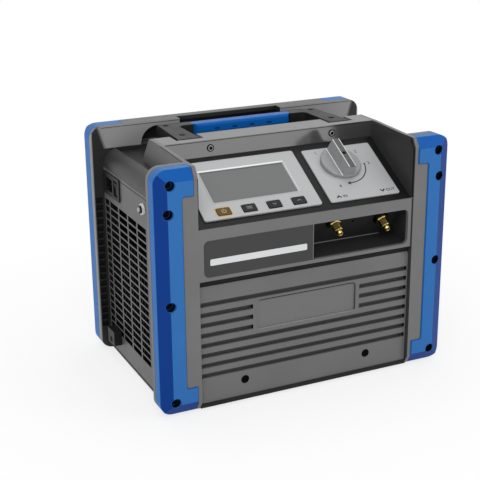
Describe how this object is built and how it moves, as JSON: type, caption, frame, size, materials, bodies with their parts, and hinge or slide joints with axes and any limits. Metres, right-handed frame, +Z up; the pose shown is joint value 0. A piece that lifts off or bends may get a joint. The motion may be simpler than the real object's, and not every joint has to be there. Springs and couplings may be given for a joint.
{
  "type": "refrigerant recovery machine",
  "caption": "Portable box-shaped refrigerant recovery machine with sloping console, valve knob, flare ports, vented sides, corner guards and top handle.",
  "frame": {"origin": "centre of the footprint on the floor, under the rubber feet", "axes": "+X to the right seen from the console, +Y to the back, +Z up"},
  "size_m": [0.4, 0.266, 0.315],
  "materials": {
    "casing_grey": "fine-grained moulded grey plastic",
    "panel_grey": "satin grey paint on sheet steel",
    "guard_blue": "satin blue moulded plastic",
    "charcoal": "fine-grained charcoal plastic",
    "black_plastic": "black plastic",
    "bracket_grey": "dark grey powder coat",
    "pale_plate": "pale silver-grey satin plate",
    "lcd": "grey display behind clear plastic",
    "button_grey": "dark grey keys",
    "knob_silver": "silver-grey satin knob",
    "brass": "turned brass",
    "steel": "zinc-plated steel",
    "rubber": "black rubber",
    "pan_black": "black painted sheet steel",
    "cast_alloy": "cast aluminium",
    "motor_grey": "grey painted steel",
    "copper": "drawn copper tube",
    "fins": "aluminium fins on copper tubes",
    "board": "green circuit board"
  },
  "bodies": {
    "casing": {"base_pan": "pan_black", "rubber_feet": "rubber", "front_housing": "casing_grey", "lower_front_panel": "panel_grey", "panel_seal": "rubber", "front_guard_left": "guard_blue", "front_guard_right": "guard_blue", "rear_frame": "casing_grey", "rear_panel": "panel_grey", "rear_guard_left": "guard_blue", "rear_guard_right": "guard_blue", "side_panel_left": "panel_grey", "side_panel_right": "panel_grey", "top_cover": "panel_grey", "handle_bracket_left": "bracket_grey", "handle_bracket_right": "bracket_grey", "handle_grip": "guard_blue", "handle_screws": "steel", "console_tray": "charcoal", "console_screws": "steel", "display_bezel": "pale_plate", "lcd_window": "lcd", "display_board": "board", "knob_plate": "pale_plate", "valve_manifold": "cast_alloy", "port_bay": "black_plastic", "nameplate": "charcoal", "inlet_port": "brass", "outlet_port": "brass", "guard_screws": "steel", "panel_screws": "steel", "power_inlet": "black_plastic", "inlet_pins": "steel", "breaker_body": "black_plastic", "breaker_nut": "steel", "corner_blocks": "black_plastic", "block_screws": "steel", "crankcase": "cast_alloy", "cylinder_heads": "cast_alloy", "motor_housing": "motor_grey", "motor_feet": "pan_black", "fan_shroud": "charcoal", "condenser_coil": "fins", "suction_pipe": "copper", "discharge_pipe": "copper", "liquid_pipe": "copper", "run_capacitor": "black_plastic", "pressure_switch": "steel", "power_board": "board"},
    "knob": {"selector_knob": "knob_silver", "knob_set_screw": "steel", "valve_spindle": "steel"},
    "power_key": {"power_button": "button_grey"},
    "menu_key": {"menu_button": "button_grey"},
    "down_key": {"down_button": "button_grey"},
    "up_key": {"up_button": "button_grey"},
    "rocker": {"rocker_switch": "black_plastic"},
    "breaker_reset": {"breaker_button": "pale_plate"},
    "rotor": {"drive_shaft": "steel", "cooling_fan": "black_plastic"}
  },
  "joints": [
    {"name": "knob_turn", "type": "hinge", "parent": "casing", "child": "knob", "pos_m": [0.076, -0.06853, 0.27261], "axis": [0, -0.5, 0.866], "range_deg": [-204, 37]},
    {"name": "power_press", "type": "slide", "parent": "casing", "child": "power_key", "axis": [0, 0.5, -0.866], "range_m": [0, 0.001], "stiffness_N_per_m": 400, "springref_m": -0.0005},
    {"name": "menu_press", "type": "slide", "parent": "casing", "child": "menu_key", "axis": [0, 0.5, -0.866], "range_m": [0, 0.001], "stiffness_N_per_m": 400, "springref_m": -0.0005},
    {"name": "down_press", "type": "slide", "parent": "casing", "child": "down_key", "axis": [0, 0.5, -0.866], "range_m": [0, 0.001], "stiffness_N_per_m": 400, "springref_m": -0.0005},
    {"name": "up_press", "type": "slide", "parent": "casing", "child": "up_key", "axis": [0, 0.5, -0.866], "range_m": [0, 0.001], "stiffness_N_per_m": 400, "springref_m": -0.0005},
    {"name": "rocker_tilt", "type": "hinge", "parent": "casing", "child": "rocker", "pos_m": [-0.1815, 0.0465, 0.244], "axis": [0, 1, 0], "range_deg": [0, 16]},
    {"name": "breaker_trip", "type": "slide", "parent": "casing", "child": "breaker_reset", "axis": [-1, 0, 0], "range_m": [0, 0.003]},
    {"name": "rotor_spin", "type": "hinge", "parent": "casing", "child": "rotor", "pos_m": [0, -0.003, 0.104], "axis": [1, 0, 0], "continuous": true}
  ]
}
